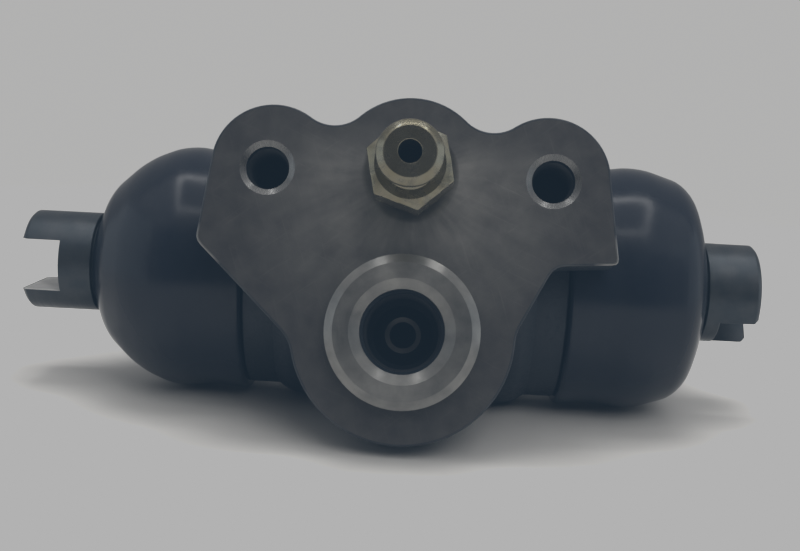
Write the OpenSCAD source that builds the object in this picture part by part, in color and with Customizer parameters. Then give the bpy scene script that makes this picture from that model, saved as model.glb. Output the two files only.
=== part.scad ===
// Drum brake wheel cylinder with two opposed pistons.
// The origin is midway between the two mounting holes, on the flange face.
// X runs along the bore, +Y goes from the flange face back to the bore, +Z is up.

/* [Mounting flange] */
// Distance between the two tapped mounting holes
bolt_spacing = 33; // [30:0.5:36]
// Tapping drill of the mounting holes
bolt_hole_d = 5; // [4:0.1:5.5]
// Mouth diameter of the countersink on each mounting hole
bolt_countersink_d = 6.4; // [6:0.1:7.5]
// Angle of the countersink on each mounting hole
bolt_countersink_angle = 120; // [100:1:140]
// Depth of the mounting holes
bolt_hole_depth = 10; // [8:0.5:11]
// Thickness of the flange
flange_t = 6; // [5:0.25:7]
// Radius of the rounded ear beside each mounting hole
ear_r = 7.15; // [6.4:0.05:7.6]
// How far each ear's centre lies inside its mounting hole
ear_inset = 0.6; // [0:0.05:1.2]
// Radius of the lobe round the bleed screw
centre_lobe_r = 9; // [8:0.1:10]
// Radius of the hollow between the centre lobe and each ear
valley_r = 4.5; // [3:0.1:6]
// Outward slope of the flange's two sides
side_flare = 7.5; // [0:0.5:12]
// Height of the lower right edge below the bolt line
right_edge_drop = 9.3; // [8:0.1:11]
// Where the lower right edge turns down, from the middle
right_edge_inner = 17; // [15.5:0.1:19]
// Height of the lower left corner below the bolt line
left_corner_drop = 8.7; // [7:0.1:10]
// Fall of the lower left edge from that corner to the port lobe
slant_angle = 43.6; // [40:0.2:48]
// Steepness of the lower right edge below its turn
notch_angle = 62.5; // [58:0.5:68]
// Radius of the lobe round the inlet port
port_lobe_r = 12.9; // [12:0.1:14]
// Radius of the fillet between each slanting edge and the port lobe
lobe_fillet_r = 5; // [3:0.25:6]
// Depth of the cast bosses behind the mounting holes
ear_boss_depth = 11.5; // [11:0.1:13]
// How far each cast boss stays inside its ear
ear_boss_step = 1; // [0.5:0.1:2]
// Wall of the cast boss round the bleed screw's hole
bleed_boss_wall = 3.4; // [2.6:0.1:4]
// Wall of the cast boss round the inlet thread
port_boss_wall = 5.4; // [4:0.1:6]

/* [Inlet port] */
// Distance of the inlet port below the bolt line
port_drop = 18.2; // [17.4:0.1:19]
// Minor diameter of the inlet thread
port_thread_d = 9; // [8.4:0.1:9.4]
// Diameter of the plain lead-in ahead of the thread
port_lead_in_d = 9.6; // [9.5:0.1:10.4]
// Mouth diameter of the inlet countersink
port_mouth_d = 12; // [11:0.1:13]
// Angle of the inlet countersink
port_countersink_angle = 120; // [100:1:140]
// Length of the plain lead-in
port_lead_in_h = 1.5; // [1:0.1:2.5]
// Outer diameter of the raised inlet boss
port_boss_d = 17.6; // [16:0.1:19]
// Height of the inlet boss above the flange face
port_boss_h = 3; // [2:0.1:4]
// Width of the bevel round the inlet boss
port_boss_bevel = 1; // [0.4:0.05:1.3]
// Depth of the hole from the boss face, with its relief
port_depth = 13.5; // [12:0.25:14.5]
// Diameter of the relief that ends the thread
port_relief_d = 10.2; // [9.8:0.1:10.8]
// Length of the relief
port_relief_h = 2.4; // [2.2:0.1:3]
// Height of the raised pipe seat at the foot of the hole
port_seat_h = 1.6; // [1:0.1:1.8]
// Diameter of the pipe seat's flat top
port_seat_d = 4.4; // [4:0.1:4.8]
// Diameter of the fluid passage through the pipe seat
port_passage_d = 3.2; // [2:0.1:3.6]

/* [Bore and barrel] */
// Bore of the cylinder
bore_d = 19.05; // [18.5:0.05:19.5]
// Distance of the bore axis behind the flange face
bore_back = 22.5; // [22:0.25:24]
// Distance of the bore axis below the bolt line
bore_drop = 9.9; // [9.6:0.05:10.2]
// Length of the cast body along the bore
body_length = 55; // [54:0.5:58]
// Diameter of the barrel in the middle
barrel_d = 32; // [31:0.2:33]
// Length of the barrel at full diameter
barrel_length = 28.6; // [26:0.2:30]
// Diameter of the neck between the barrel and each boot
neck_d = 29.6; // [28:0.2:30.4]
// Distance of each boot's seat from the middle
boot_seat = 19.8; // [19:0.1:20.6]
// Diameter of the seat that each boot is pushed over
boot_seat_d = 26; // [25.4:0.1:27]
// Depth of the groove that holds each boot's bead
boot_groove_depth = 0.9; // [0.5:0.05:1.2]
// Width of the groove that holds each boot's bead
boot_groove_w = 2.2; // [1.6:0.1:2.6]

/* [Pistons] */
// Clearance between piston and bore, on the radius
piston_clearance = 0.03; // [0.01:0.005:0.08]
// Length of the guided land of each piston
land_length = 10.5; // [8:0.25:11]
// Diameter of the stem that pushes the brake shoe
stem_d = 13; // [11:0.1:14]
// Depth of the groove that holds the boot's mouth
stem_groove_depth = 0.8; // [0.4:0.05:1.1]
// Width of the slot for the brake shoe
slot_w = 6.5; // [5.6:0.1:7.5]
// Depth of the slot for the brake shoe
slot_depth = 4.9; // [4.4:0.1:6]
// Bevel round the end of each stem
stem_bevel = 0.5; // [0.2:0.05:0.8]
// Place of the left piston's end, from the middle
left_tip = 49.8; // [48.6:0.1:50.6]
// Place of the right piston's end, from the middle
right_tip = 45.5; // [45:0.1:48]
// Length of each piston from its shoulder to its end
stem_length = 19.7; // [18.6:0.1:20.5]
// Turn of the left piston about its axis
left_slot_turn = 13; // [0:1:90]
// Turn of the right piston about its axis
right_slot_turn = 72; // [0:1:90]

/* [Seals and spring] */
// Width of the seal groove in each piston
seal_groove_w = 4.2; // [3.6:0.1:4.8]
// Diameter of the seal groove's floor
seal_floor_d = 12.4; // [11:0.1:13.5]
// Clearance of the seal round its groove and in the bore
seal_clearance = 0.06; // [0.02:0.01:0.1]
// Depth of the notch between the two lips of the seal
seal_lip_depth = 2; // [1:0.1:2.6]
// Mean diameter of the return spring
spring_d = 10.4; // [9.6:0.1:11]
// Wire diameter of the return spring
spring_wire = 1.2; // [0.8:0.1:1.4]
// Number of turns in the return spring
spring_turns = 5.5; // [4:0.5:7]

/* [Dust boots] */
// Largest radius of each boot, at its bulge
boot_r = 16.1; // [15.6:0.05:16.3]
// Radius of the rim that lies against the casting
boot_rim_r = 15.8; // [15.5:0.05:16]
// Radius of the shallow waist between rim and bulge
boot_waist_r = 15.35; // [15:0.05:15.5]
// Radius at the shoulder, where the boot turns in
boot_shoulder_r = 14; // [13.4:0.1:14.6]
// Radius at the crown, where the boot turns to its mouth
boot_crown_r = 10.2; // [9.4:0.1:11]
// Thickness of the boot's wall
boot_wall = 1.9; // [1.4:0.1:2.2]
// Distance of each boot's bulge from the middle
boot_bulge = 29.2; // [28.4:0.1:30]
// Distance of the left boot's shoulder from the middle
left_boot_shoulder = 34.4; // [33.6:0.1:35.6]
// Distance of the right boot's shoulder from the middle
right_boot_shoulder = 35.9; // [35:0.1:36.2]
// Distance of the left boot's crown from the middle
left_boot_crown = 38.6; // [38:0.1:39.4]
// Distance of the right boot's crown from the middle
right_boot_crown = 37.4; // [36.8:0.1:37.8]
// Distance of the left boot's mouth from the middle
left_boot_mouth = 40.6; // [40:0.1:41.4]
// Distance of the right boot's mouth from the middle
right_boot_mouth = 38.6; // [38.2:0.1:39.4]
// Clearance of each boot on the casting and on the stem
boot_clearance = 0.1; // [0.05:0.01:0.2]
// Clearance of the turned relief round each boot
boot_relief = 0.35; // [0.2:0.05:0.4]

/* [Bleed screw] */
// Diameter of the tapped hole for the bleed screw
bleed_hole_d = 8; // [7:0.1:8.4]
// Clearance of the bleed screw in its hole, on the radius
bleed_clearance = 0.08; // [0.02:0.01:0.1]
// Width across flats of the hexagon
hex_af = 9; // [8.4:0.1:9.4]
// Diameter of the flat on the front of the hexagon
hex_face_d = 7.9; // [7.4:0.1:8.2]
// Gap between the flange face and the hexagon
hex_gap = 1.6; // [0.8:0.1:2.4]
// Height of the hexagon
hex_h = 5.4; // [4.4:0.1:6]
// Turn of the hexagon when the screw is closed
hex_turn = 18; // [0:1:60]
// Distance of the nipple's end from the flange face
nipple_reach = 14; // [12.5:0.1:15]
// Diameter of the bead round the nipple
bead_d = 7.2; // [6.6:0.1:7.6]
// Width of the bevel round the nipple's end
bead_bevel = 0.8; // [0.4:0.05:1]
// Diameter of the nipple behind its bead
nipple_neck_d = 5.2; // [4.4:0.1:5.6]
// Diameter of the hole along the nipple
nipple_bore_d = 2.5; // [1.5:0.1:2.8]
// Depth of the tapped hole for the bleed screw
bleed_hole_depth = 10; // [9:0.25:11]
// Diameter of the bleed screw's nose, which carries its sealing cone
bleed_nose_d = 5.4; // [4.8:0.1:6]
// Diameter of the fluid passage that the bleed screw closes
bleed_passage_d = 2.4; // [1.6:0.1:2.8]

/* [Hidden] */
$fn = 96;
// Overlap that lets a cut pass clean through a face
cut = 1;
// Steps along each long soft bend of an outline
bend_steps = 6;

ear_x = bolt_spacing / 2 - ear_inset;
ear_z = 0.3;
ear_centre = [ear_x, ear_z];
port_centre = [0, -port_drop];
// Depth by which curves that run into each other cross, in place of a bare touch
bite = 0.005;
// The sides run down from each ear as a tangent to it
side_top = ear_centre + (ear_r - bite) * [cos(side_flare), sin(side_flare)];
function side_x(z) = side_top[0] + (side_top[1] - z) * tan(side_flare);

// Fall of the lower right edge towards its turn
right_edge_fall = 0.5;
// Set-back of the soft corners of the outline
corner_soft = 0.8;
notch_soft = 1.2;

bore_r = bore_d / 2;
piston_r = bore_r - piston_clearance;
stem_r = stem_d / 2;
stem_groove_r = stem_r - stem_groove_depth;
boot_seat_r = boot_seat_d / 2;
boot_groove_r = boot_seat_r - boot_groove_depth;
seal_floor_r = seal_floor_d / 2;
bleed_hole_r = bleed_hole_d / 2;
bleed_r = bleed_hole_r - bleed_clearance;
half_body = body_length / 2;
barrel_r = barrel_d / 2;
neck_r = neck_d / 2;
// Soft slope between the barrel and its necks
barrel_slope = 1.7;
barrel_soft = 0.9;
// Bevels at the ends of the casting, outside and in the bore
seat_bevel = 0.8;
bore_bevel = 1;
// Groove for each boot's bead, and the land between it and the end of the seat
groove_land = 1.6;
groove_start = boot_seat + groove_land;
groove_end = groove_start + boot_groove_w;

// Set-backs of the boots' soft bends
boot_rim_soft = 0.9;
boot_soft = 2;
boot_crown_soft = 1.2;

// Distances along a piston, measured back from the end of its stem
shoulder_back = stem_length;
shoulder_bevel = 1;
land_back = shoulder_back + shoulder_bevel + land_length;
seal_back = land_back + seal_groove_w;
seal_flange_t = 2;
flange_back = seal_back + seal_flange_t;
spigot_h = 2.5;
spigot_taper = 0.5;
seal_flange_gap = 1.2;
seal_flange_r = bore_r - seal_flange_gap;
spigot_gap = 0.4;
spigot_r = (spring_d - spring_wire) / 2 - spigot_gap;
function spring_seat(tip) = tip - flange_back;
seal_lip_w = 0.8;
seal_heel_gap = 0.25;

// Slope of the pipe seat's cone from the port's axis
port_seat_slope = 42;
// Seat of the bleed screw's cone at the foot of its tapped hole
bleed_nose_r = bleed_nose_d / 2;
bleed_nose_h = 1.5;
bleed_cone_h = bleed_nose_r - bleed_passage_d / 2;
cross_hole_d = 1.2;
thread_bevel = 0.6;
// Bead of the nipple and the flare where the nipple meets the hexagon
bead_h = 1.5;
bead_slope = 1.3;
neck_flare = 0.3;
// Slope of the bevel round the front of the hexagon
hex_bevel_angle = 30;
// The hole's mouth is opened out past the corners of the hexagon
hex_corner_r = hex_af / 2 / cos(30);
hex_corner_gap = 0.2;

// Turns the axis of a solid of revolution from Z to the bore
module on_bore() {
    translate([0, bore_back, -bore_drop]) rotate([0, 90, 0]) children();
}

// Turns the axis of a solid of revolution from Z to +Y, at a place on the flange
module into_flange(place, depth = 0) {
    translate([place[0], depth, place[1]]) rotate([-90, 0, 0]) children();
}

// Extrudes an outline drawn on the flange face from one depth to another
module behind_face(from, to) {
    translate([0, to, 0]) rotate([90, 0, 0]) linear_extrude(to - from) children();
}

// Points of a rounded corner at b, set back by a given distance along both sides
function soft_corner(a, b, c, back, steps = 3) =
    let (p = b + back * (a - b) / norm(a - b), q = b + back * (c - b) / norm(c - b))
    [for (i = [0 : steps]) let (s = i / steps)
        (1 - s) * (1 - s) * p + 2 * s * (1 - s) * b + s * s * q];

// Centre of the circle of radius r that touches two circles from above
function hollow_centre(c1, r1, c2, r2, r) =
    let (d = norm(c2 - c1), way = (c2 - c1) / d,
         along = (pow(r1 + r, 2) - pow(r2 + r, 2) + d * d) / (2 * d),
         across = sqrt(pow(r1 + r, 2) - along * along))
    c1 + along * way + across * [-way[1], way[0]];

valley_centre = hollow_centre([0, 0], centre_lobe_r, ear_centre, ear_r, valley_r);

// Centre of the fillet between the port lobe and an edge that starts at a point
// and runs one way, with the open side named by its outward direction
function fillet_centre(start, way, out) =
    let (w = start - port_centre, r = lobe_fillet_r, b = w * way,
         c = w * w + 2 * r * (w * out) + r * r - pow(port_lobe_r + r, 2))
    start + (-b - sqrt(b * b - c)) * way + r * out;

// The right wing has a level lower edge and a turn down to the port lobe
right_corner = [side_x(-right_edge_drop), -right_edge_drop];
notch = [right_edge_inner, -right_edge_drop - right_edge_fall];
notch_out = [sin(notch_angle), -cos(notch_angle)];
notch_fillet = fillet_centre(notch, [-cos(notch_angle), -sin(notch_angle)], notch_out);

module right_wing() {
    notch_end = notch_fillet - lobe_fillet_r * notch_out;
    polygon(concat(
        [[0, 0], ear_centre, side_top],
        soft_corner(side_top, right_corner, notch, corner_soft),
        soft_corner(right_corner, notch, notch_end, notch_soft),
        [notch_end, notch_fillet, port_centre]
    ));
}

// The left wing is cut off at a slant that runs down to the port lobe
left_corner = [-side_x(-left_corner_drop), -left_corner_drop];
slant_out = [-sin(slant_angle), -cos(slant_angle)];
slant_fillet = fillet_centre(left_corner, [cos(slant_angle), -sin(slant_angle)], slant_out);

module left_wing() {
    slant_end = slant_fillet - lobe_fillet_r * slant_out;
    side = [-side_top[0], side_top[1]];
    polygon(concat(
        [port_centre, slant_fillet, slant_end],
        soft_corner(slant_end, left_corner, side, corner_soft),
        [side, [-ear_x, ear_z], [0, 0]]
    ));
}

module flange_outline() {
    difference() {
        union() {
            circle(centre_lobe_r);
            translate(port_centre) circle(port_lobe_r);
            for (side = [0, 1]) mirror([side, 0]) {
                translate(ear_centre) circle(ear_r);
                polygon([[0, 0], ear_centre, valley_centre]);
            }
            right_wing();
            left_wing();
        }
        for (side = [0, 1]) mirror([side, 0]) translate(valley_centre) circle(valley_r + bite);
        for (centre = [notch_fillet, slant_fillet]) translate(centre) circle(lobe_fillet_r + bite);
    }
}

// Cast metal behind the flange: one boss for each hole and the web to the barrel
module casting_back() {
    bleed_boss_r = bleed_hole_r + bleed_boss_wall;
    port_boss_r = port_thread_d / 2 + port_boss_wall;
    behind_face(flange_t - cut, bore_back) {
        circle(bleed_boss_r);
        translate(port_centre) circle(port_boss_r);
        translate([-bleed_boss_r, -port_drop]) square([2 * bleed_boss_r, port_drop]);
    }
    behind_face(flange_t - cut, ear_boss_depth)
        for (side = [-1, 1]) translate([side * ear_x, ear_z]) circle(ear_r - ear_boss_step);
}

module barrel() {
    half = barrel_length / 2;
    slope_end = [neck_r, half + barrel_slope];
    profile = concat(
        [[0, 0], [barrel_r, 0]],
        soft_corner([barrel_r, 0], [barrel_r, half], slope_end, barrel_soft),
        [slope_end, [neck_r, half_body], [0, half_body]]
    );
    on_bore() for (side = [0, 1]) mirror([0, 0, side]) rotate_extrude() polygon(profile);
}

// Turning at both ends: the boot's seat, the groove for its bead and room round it
module end_turning() {
    relief_r = boot_r + boot_relief;
    profile = [
        [relief_r, boot_seat], [boot_seat_r, boot_seat], [boot_seat_r, groove_start],
        [boot_groove_r, groove_start], [boot_groove_r, groove_end], [boot_seat_r, groove_end],
        [boot_seat_r, half_body - seat_bevel], [boot_seat_r - seat_bevel - cut, half_body + cut],
        [relief_r, half_body + cut]
    ];
    on_bore() for (side = [0, 1]) mirror([0, 0, side]) rotate_extrude() polygon(profile);
}

module bore_cut() {
    on_bore() {
        cylinder(r = bore_r, h = body_length + 2 * cut, center = true);
        for (side = [0, 1]) mirror([0, 0, side]) translate([0, 0, half_body - bore_bevel])
            cylinder(r1 = bore_r, r2 = bore_r + bore_bevel + cut, h = bore_bevel + cut);
    }
}

module inlet_boss() {
    into_flange(port_centre, -port_boss_h) {
        cylinder(d1 = port_boss_d - 2 * port_boss_bevel, d2 = port_boss_d, h = port_boss_bevel);
        translate([0, 0, port_boss_bevel])
            cylinder(d = port_boss_d, h = port_boss_h - port_boss_bevel + cut);
    }
}

// Inlet hole from the mouth inwards: countersink, lead-in, thread, relief, raised seat and passage
module inlet_cut() {
    slope = tan(port_countersink_angle / 2);
    mouth_h = (port_mouth_d - port_lead_in_d) / 2 / slope;
    seat_r = port_seat_d / 2;
    seat_top = port_depth - port_seat_h;
    thread_end = port_depth - port_relief_h;
    profile = [
        [0, -cut], [port_mouth_d / 2 + cut * slope, -cut], [port_lead_in_d / 2, mouth_h],
        [port_lead_in_d / 2, mouth_h + port_lead_in_h],
        [port_thread_d / 2, mouth_h + port_lead_in_h],
        [port_thread_d / 2, thread_end], [port_relief_d / 2, thread_end],
        [port_relief_d / 2, port_depth],
        [seat_r + port_seat_h * tan(port_seat_slope), port_depth],
        [seat_r, seat_top], [port_passage_d / 2, seat_top],
        [port_passage_d / 2, bore_back + port_boss_h], [0, bore_back + port_boss_h]
    ];
    into_flange(port_centre, -port_boss_h) rotate_extrude() polygon(profile);
}

module bolt_cuts() {
    slope = tan(bolt_countersink_angle / 2);
    mouth_h = (bolt_countersink_d - bolt_hole_d) / 2 / slope;
    profile = [
        [0, -cut], [bolt_countersink_d / 2 + cut * slope, -cut], [bolt_hole_d / 2, mouth_h],
        [bolt_hole_d / 2, bolt_hole_depth], [0, bolt_hole_depth + bolt_hole_d / 4]
    ];
    for (side = [-1, 1]) into_flange([side * bolt_spacing / 2, 0]) rotate_extrude() polygon(profile);
}

// Tapped hole, seat and passage of the bleed screw
module bleed_cut() {
    nose = bleed_nose_r + bleed_clearance;
    mouth = hex_corner_r + hex_corner_gap - bleed_hole_r;
    profile = [
        [0, -cut], [bleed_hole_r + mouth + cut, -cut], [bleed_hole_r, mouth],
        [bleed_hole_r, bleed_hole_depth], [nose, bleed_hole_depth],
        [nose, bleed_hole_depth + bleed_nose_h],
        [bleed_passage_d / 2, bleed_hole_depth + bleed_nose_h + nose - bleed_passage_d / 2],
        [bleed_passage_d / 2, bore_back], [0, bore_back]
    ];
    into_flange([0, 0]) rotate_extrude() polygon(profile);
}

module cylinder_body() {
    color("#45474b") difference() {
        union() {
            behind_face(0, flange_t) flange_outline();
            casting_back();
            barrel();
            inlet_boss();
        }
        bore_cut();
        end_turning();
        inlet_cut();
        bolt_cuts();
        bleed_cut();
    }
}

// One piston with its end at the given place, turned about the bore
module piston(tip, turn, mouth) {
    groove_out = tip - mouth;
    groove_in = groove_out + boot_wall + 2 * boot_clearance;
    profile = [
        [0, 0], [stem_r - stem_bevel, 0], [stem_r, stem_bevel],
        [stem_r, groove_out - boot_clearance], [stem_groove_r, groove_out - boot_clearance],
        [stem_groove_r, groove_in], [stem_r, groove_in],
        [stem_r, shoulder_back], [piston_r - shoulder_bevel, shoulder_back],
        [piston_r, shoulder_back + shoulder_bevel], [piston_r, land_back],
        [seal_floor_r, land_back], [seal_floor_r, seal_back],
        [seal_flange_r, seal_back], [seal_flange_r, flange_back],
        [spigot_r, flange_back], [spigot_r - spigot_taper, flange_back + spigot_h],
        [0, flange_back + spigot_h]
    ];
    on_bore() rotate([0, 0, turn]) translate([0, 0, tip]) mirror([0, 0, 1]) difference() {
        rotate_extrude() polygon(profile);
        translate([-slot_w / 2, -stem_r - cut, -cut])
            cube([slot_w, 2 * (stem_r + cut), slot_depth + cut]);
    }
}

module left_piston() {
    color("#4b5058") mirror([1, 0, 0]) piston(left_tip, left_slot_turn, left_boot_mouth);
}

module right_piston() {
    color("#4b5058") piston(right_tip, right_slot_turn, right_boot_mouth);
}

// Lip seal in its piston's groove, with both lips towards the fluid
module seal(tip) {
    outer = bore_r - seal_clearance;
    inner = seal_floor_r + seal_clearance;
    heel = tip - land_back - seal_clearance;
    lip = tip - seal_back + seal_clearance;
    middle = (outer + inner) / 2;
    profile = [
        [inner, heel], [inner, lip], [inner + seal_lip_w, lip], [middle, lip + seal_lip_depth],
        [outer - seal_lip_w, lip], [outer, lip], [outer, lip + seal_lip_w],
        [outer - seal_heel_gap, heel]
    ];
    on_bore() rotate_extrude() polygon(profile);
}

module left_seal() {
    color("#1d1e20") mirror([1, 0, 0]) seal(left_tip);
}

module right_seal() {
    color("#1d1e20") seal(right_tip);
}

// Ring of points round the spring's wire at a given angle along the coil
function wire_ring(angle, pitch, start, sides) =
    [for (k = [0 : sides - 1]) let (
        swing = 360 * k / sides,
        r = spring_d / 2 + spring_wire / 2 * cos(swing),
        x = start + pitch * angle / 360 + spring_wire / 2 * sin(swing))
        [x, r * cos(angle), r * sin(angle)]];

module return_spring() {
    sides = 8;
    rings_per_turn = 20;
    seat_gap = 0.2;
    start = -spring_seat(left_tip) + spring_wire / 2 + seat_gap;
    end = spring_seat(right_tip) - spring_wire / 2 - seat_gap;
    rings = spring_turns * rings_per_turn;
    pitch = (end - start) / spring_turns;
    points = [for (i = [0 : rings]) each wire_ring(360 * i / rings_per_turn, pitch, start, sides)];
    walls = [for (i = [0 : rings - 1]) for (k = [0 : sides - 1]) let (
        a = i * sides + k, b = i * sides + (k + 1) % sides)
        [a, b, b + sides, a + sides]];
    first_cap = [[for (k = [sides - 1 : -1 : 0]) k]];
    last_cap = [[for (k = [0 : sides - 1]) rings * sides + k]];
    color("#9a9ca0") translate([0, bore_back, -bore_drop])
        polyhedron(points, concat(walls, first_cap, last_cap), convexity = 10);
}

// Corner b of a path moved inwards by a wall's thickness, towards axis and casting
function inward(a, b, c, wall) =
    let (d1 = (b - a) / norm(b - a), d2 = (c - b) / norm(c - b),
         n1 = [-d1[1], d1[0]], n2 = [-d2[1], d2[0]])
    b + wall * (n1 + n2) / (1 + n1 * n2);

// One boot: a bead snapped over the casting, a full shoulder and a lip in the stem's groove
module boot(shoulder_x, crown_x, mouth_x) {
    seat = boot_seat + boot_clearance;
    seat_r = boot_seat_r + boot_clearance;
    bead_r = boot_groove_r + boot_clearance;
    bead_in = groove_start + boot_clearance;
    bead_out = groove_end - boot_clearance;
    lip_r = stem_groove_r + boot_clearance;
    rim = [boot_rim_r, seat];
    waist = [boot_waist_r, (boot_seat + boot_bulge) / 2];
    bulge = [boot_r, boot_bulge];
    shoulder = [boot_shoulder_r, shoulder_x];
    crown = [boot_crown_r, crown_x];
    mouth = [lip_r, mouth_x];
    outer = concat(
        soft_corner([seat_r, seat], rim, waist, boot_rim_soft),
        soft_corner(rim, waist, bulge, boot_soft, bend_steps),
        soft_corner(waist, bulge, shoulder, boot_soft, bend_steps),
        soft_corner(bulge, shoulder, crown, boot_soft, bend_steps),
        soft_corner(shoulder, crown, mouth, boot_crown_soft, bend_steps),
        [mouth]
    );
    inner = [
        [lip_r, mouth_x - boot_wall],
        [stem_r + boot_clearance, mouth_x - boot_wall],
        inward(shoulder, crown, mouth, boot_wall),
        inward(bulge, shoulder, crown, boot_wall),
        inward(waist, bulge, shoulder, boot_wall),
        [seat_r, half_body + boot_clearance],
        [seat_r, bead_out], [bead_r, bead_out], [bead_r, bead_in], [seat_r, bead_in]
    ];
    on_bore() rotate_extrude() polygon(concat([[seat_r, seat]], outer, inner));
}

module left_boot() {
    color("#2a333f") mirror([1, 0, 0]) boot(left_boot_shoulder, left_boot_crown, left_boot_mouth);
}

module right_boot() {
    color("#2a333f") boot(right_boot_shoulder, right_boot_crown, right_boot_mouth);
}

// Bleed screw from the tip of its nipple to the cone that closes the passage
module bleed_screw() {
    hex_front = -hex_gap - hex_h;
    tip = -nipple_reach;
    bead_r = bead_d / 2;
    neck_r = nipple_neck_d / 2;
    thread_end = bleed_hole_depth - bleed_clearance;
    nose_end = thread_end + bleed_nose_h;
    cross_hole_depth = bleed_hole_depth + bleed_nose_h / 2;
    profile = [
        [0, tip], [bead_r - bead_bevel, tip], [bead_r, tip + bead_bevel],
        [bead_r, tip + bead_h], [neck_r, tip + bead_h + bead_slope],
        [neck_r, hex_front - neck_flare], [neck_r + neck_flare, hex_front],
        [neck_r + neck_flare, hex_front + cut], [bleed_r, hex_front + cut],
        [bleed_r, thread_end - thread_bevel], [bleed_r - thread_bevel, thread_end],
        [bleed_nose_r, thread_end], [bleed_nose_r, nose_end],
        [bleed_passage_d / 2, nose_end + bleed_cone_h], [0, nose_end + bleed_cone_h]
    ];
    color("#a59e86") difference() {
        union() {
            into_flange([0, 0]) rotate_extrude() polygon(profile);
            into_flange([0, 0], hex_front) intersection() {
                rotate([0, 0, hex_turn]) cylinder(r = hex_corner_r, h = hex_h, $fn = 6);
                cylinder(
                    d1 = hex_face_d, d2 = hex_face_d + 2 * hex_h / tan(hex_bevel_angle), h = hex_h
                );
            }
        }
        into_flange([0, 0], tip - cut)
            cylinder(d = nipple_bore_d, h = nipple_reach + cross_hole_depth + cut);
        into_flange([0, 0], cross_hole_depth)
            rotate([0, 90, 0]) cylinder(d = cross_hole_d, h = bleed_hole_d, center = true);
    }
}

cylinder_body();
left_piston();
right_piston();
left_seal();
right_seal();
return_spring();
left_boot();
right_boot();
bleed_screw();
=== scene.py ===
"""Looks of a two-piston wheel cylinder for a drum brake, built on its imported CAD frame.

Size fields are in millimetres and meshes in metres. X runs along the bore, +Y from the
flange face back to the bore, and +Z is up.
"""

import logging
import math
from collections.abc import Callable
from dataclasses import dataclass
from enum import Enum, IntEnum

import bmesh
import bpy
from mathutils import Matrix, Vector

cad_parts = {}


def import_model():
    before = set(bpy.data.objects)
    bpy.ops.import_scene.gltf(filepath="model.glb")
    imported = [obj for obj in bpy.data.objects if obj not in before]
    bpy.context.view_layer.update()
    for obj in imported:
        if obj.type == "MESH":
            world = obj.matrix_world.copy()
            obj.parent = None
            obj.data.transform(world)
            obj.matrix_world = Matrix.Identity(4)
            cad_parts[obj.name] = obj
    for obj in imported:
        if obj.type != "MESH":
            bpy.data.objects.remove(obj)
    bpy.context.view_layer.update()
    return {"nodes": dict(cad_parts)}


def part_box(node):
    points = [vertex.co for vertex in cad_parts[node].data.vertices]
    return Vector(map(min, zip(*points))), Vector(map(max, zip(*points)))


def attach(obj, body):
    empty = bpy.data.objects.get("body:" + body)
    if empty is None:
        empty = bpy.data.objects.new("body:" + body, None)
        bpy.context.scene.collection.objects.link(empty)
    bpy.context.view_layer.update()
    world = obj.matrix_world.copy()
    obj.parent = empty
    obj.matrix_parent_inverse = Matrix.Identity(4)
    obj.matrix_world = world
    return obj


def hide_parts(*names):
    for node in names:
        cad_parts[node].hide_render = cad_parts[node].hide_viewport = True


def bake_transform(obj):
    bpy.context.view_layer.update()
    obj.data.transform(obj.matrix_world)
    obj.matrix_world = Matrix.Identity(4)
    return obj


LOG = logging.getLogger("wheel_cylinder")
MM = 0.001
Colour = tuple[float, float, float]
Point = tuple[float, float, float]
Range = tuple[float, float]
Socket = bpy.types.NodeSocket
Value = Socket | float | Colour
ORIGIN: Point = (0.0, 0.0, 0.0)
MIX_COLOURS = (6, 7)
MIX_RESULT = 2


class Side(Enum):
    """The two ends of the bore, each with its direction along X."""

    LEFT = -1
    RIGHT = 1

    @property
    def word(self) -> str:
        """The side's name as the CAD nodes spell it."""
        return self.name.lower()


class Lathe(Enum):
    """The axis that the tool marks of a turned face go round."""

    BORE = "X"
    FLANGE = "Y"


class Rounding(Enum):
    """What a rounding is laid on."""

    EDGES = "EDGES"
    CORNERS = "VERTICES"


class CastingSlot(IntEnum):
    """The casting's material slots."""

    SKIN = 0
    FACE = 1
    BOSS = 2
    BOLT_MOUTH = 3
    EDGE = 4


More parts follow.
